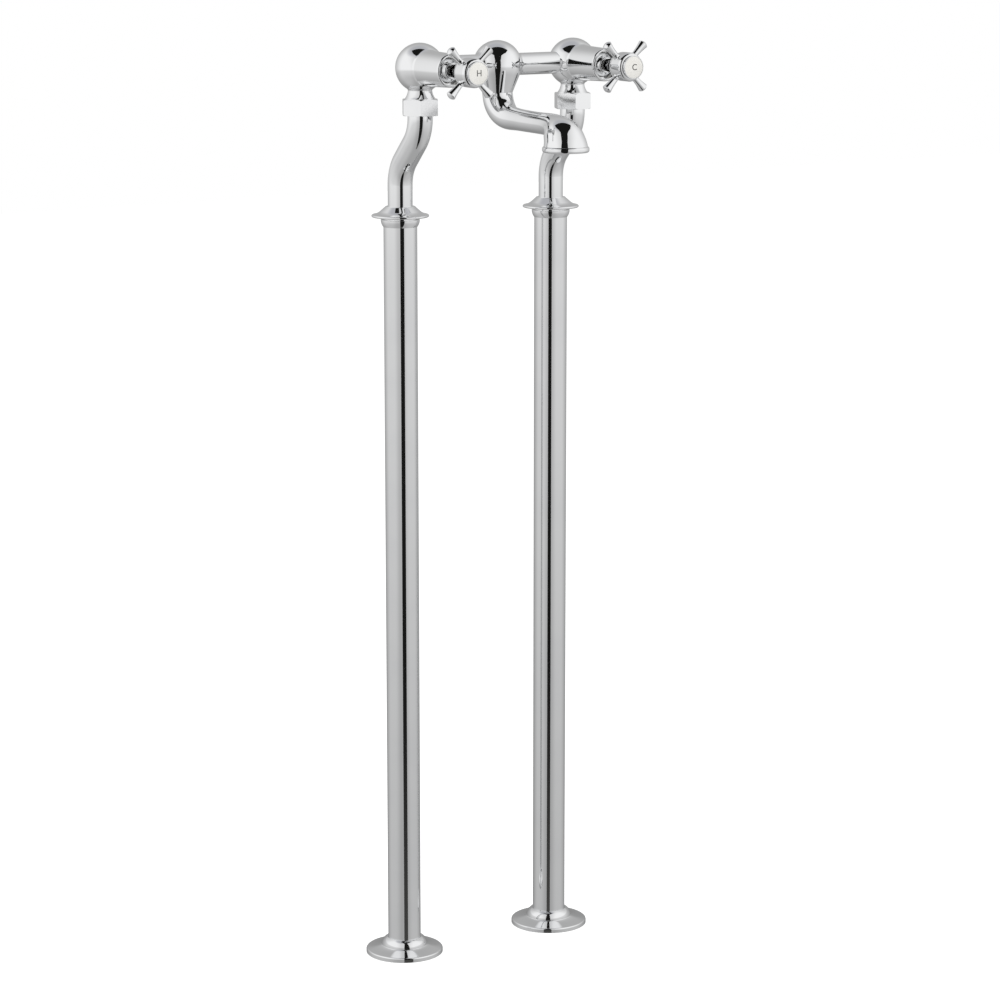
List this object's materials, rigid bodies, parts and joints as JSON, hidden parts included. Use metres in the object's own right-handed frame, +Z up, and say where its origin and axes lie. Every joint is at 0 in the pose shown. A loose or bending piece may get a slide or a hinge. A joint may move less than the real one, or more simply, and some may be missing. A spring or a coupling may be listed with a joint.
{
  "type": "floor standing bath filler",
  "caption": "Floor standing bath filler: stand pipes with floor covers and collars, a ball casting with crosshead valves, and a fixed bell mouthed spout.",
  "frame": {"origin": "on the finished floor, midway between the two stand pipes", "axes": "+X from the hot side to the cold side, -Y towards the user and the bath (the spout points to -Y), +Z up"},
  "size_m": [0.26, 0.2281, 0.9469],
  "materials": {
    "chrome": "polished",
    "steel": "satin",
    "brass": "machined",
    "copper": "drawn tube, modelled with brass's density",
    "rubber": "matt",
    "valve_ceramic": "lapped",
    "porcelain": "glazed",
    "acetal": "moulded"
  },
  "bodies": {
    "stand": {"hot_floor_plate": "steel", "hot_stand_pipe": "chrome", "hot_pipe_ferrule": "chrome", "hot_pipe_bush": "brass", "hot_inlet_fitting": "brass", "hot_riser_tube": "copper", "hot_riser_coupling": "brass", "hot_coupling_orings": "rubber", "hot_crank_tube": "chrome", "hot_union_nut": "chrome", "hot_union_washer": "rubber", "hot_valve_body": "chrome", "hot_seat_seal": "rubber", "hot_fixed_disc": "valve_ceramic", "hot_cartridge_body": "brass", "hot_valve_bonnet": "chrome", "cold_floor_plate": "steel", "cold_stand_pipe": "chrome", "cold_pipe_ferrule": "chrome", "cold_pipe_bush": "brass", "cold_inlet_fitting": "brass", "cold_riser_tube": "copper", "cold_riser_coupling": "brass", "cold_coupling_orings": "rubber", "cold_crank_tube": "chrome", "cold_union_nut": "chrome", "cold_union_washer": "rubber", "cold_valve_body": "chrome", "cold_seat_seal": "rubber", "cold_fixed_disc": "valve_ceramic", "cold_cartridge_body": "brass", "cold_valve_bonnet": "chrome", "pipe_grub_screws": "steel", "filler_body": "chrome", "spout": "chrome", "flow_straightener": "acetal"},
    "hot_handle": {"hot_crosshead": "chrome", "hot_spindle": "brass", "hot_stem_orings": "rubber", "hot_moving_disc": "valve_ceramic", "hot_handle_screw": "steel", "hot_index_bezel": "chrome", "hot_index_disc": "porcelain"},
    "hot_cover": {"hot_floor_cover": "chrome"},
    "hot_collar": {"hot_pipe_collar": "chrome"},
    "cold_handle": {"cold_crosshead": "chrome", "cold_spindle": "brass", "cold_stem_orings": "rubber", "cold_moving_disc": "valve_ceramic", "cold_handle_screw": "steel", "cold_index_bezel": "chrome", "cold_index_disc": "porcelain"},
    "cold_cover": {"cold_floor_cover": "chrome"},
    "cold_collar": {"cold_pipe_collar": "chrome"}
  },
  "joints": [
    {"name": "hot_handle_turn", "type": "hinge", "parent": "stand", "child": "hot_handle", "pos_m": [-0.09, -0.04, 0.922], "axis": [0, -1, 0], "range_deg": [0, 90]},
    {"name": "hot_cover_lift", "type": "slide", "parent": "stand", "child": "hot_cover", "axis": [0, 0, 1], "range_m": [0, 0.744]},
    {"name": "hot_collar_lift", "type": "slide", "parent": "stand", "child": "hot_collar", "axis": [0, 0, 1], "range_m": [0, 0.02]},
    {"name": "cold_handle_turn", "type": "hinge", "parent": "stand", "child": "cold_handle", "pos_m": [0.09, -0.04, 0.922], "axis": [0, 1, 0], "range_deg": [0, 90]},
    {"name": "cold_cover_lift", "type": "slide", "parent": "stand", "child": "cold_cover", "axis": [0, 0, 1], "range_m": [0, 0.744]},
    {"name": "cold_collar_lift", "type": "slide", "parent": "stand", "child": "cold_collar", "axis": [0, 0, 1], "range_m": [0, 0.02]}
  ]
}
